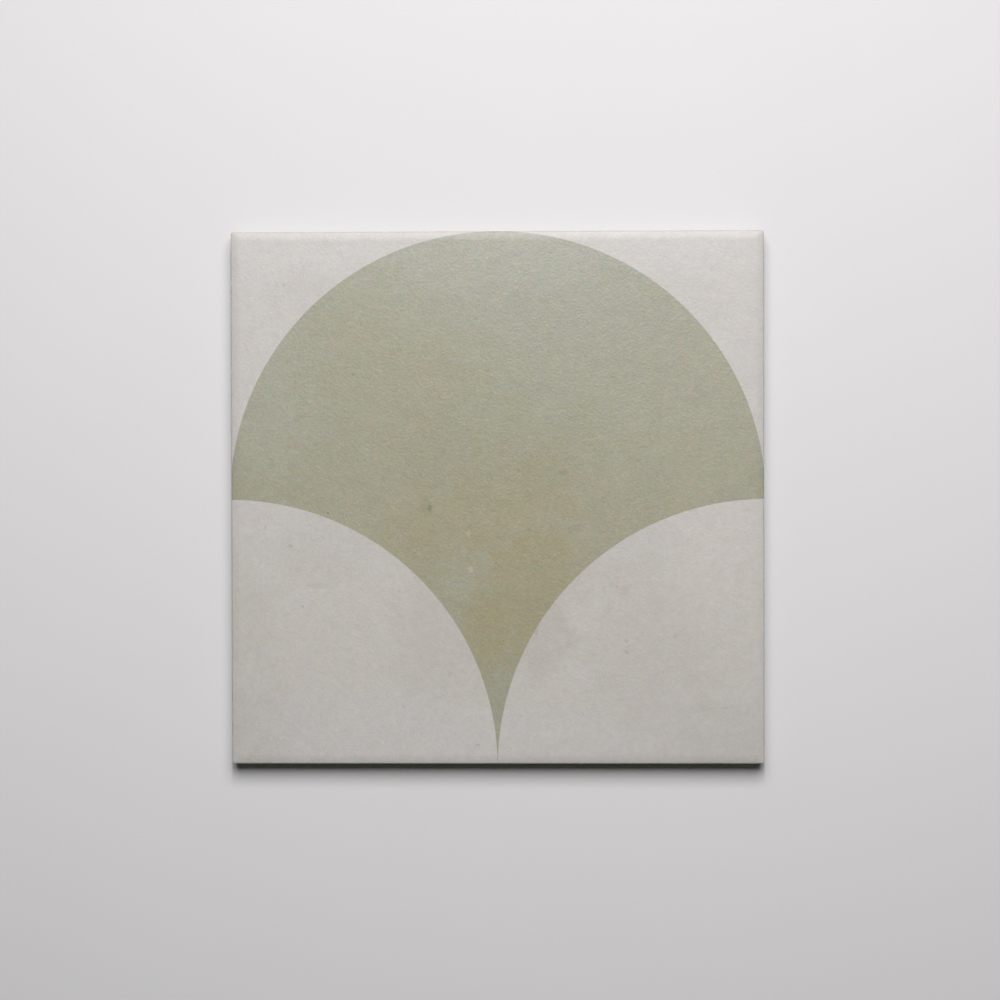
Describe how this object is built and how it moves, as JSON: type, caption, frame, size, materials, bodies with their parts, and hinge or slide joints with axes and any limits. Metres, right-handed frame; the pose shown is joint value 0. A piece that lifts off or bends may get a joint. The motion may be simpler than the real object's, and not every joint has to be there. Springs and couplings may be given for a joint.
{
  "type": "porcelain tile",
  "caption": "Square matt porcelain tile with a two-tone fish-scale fan on its face, softly cushioned edges and a back keyed with shallow pockets.",
  "frame": {"origin": "centre of the back, on the plane of its ribs", "axes": "+Z out of the printed face, +Y the way the printed fan opens, +X to the right of the face seen with the fan's arch at the top"},
  "size_m": [0.2, 0.2, 0.0085],
  "materials": {
    "tile": "matte"
  },
  "bodies": {
    "root": {"porcelain_tile": "tile"}
  },
  "joints": []
}
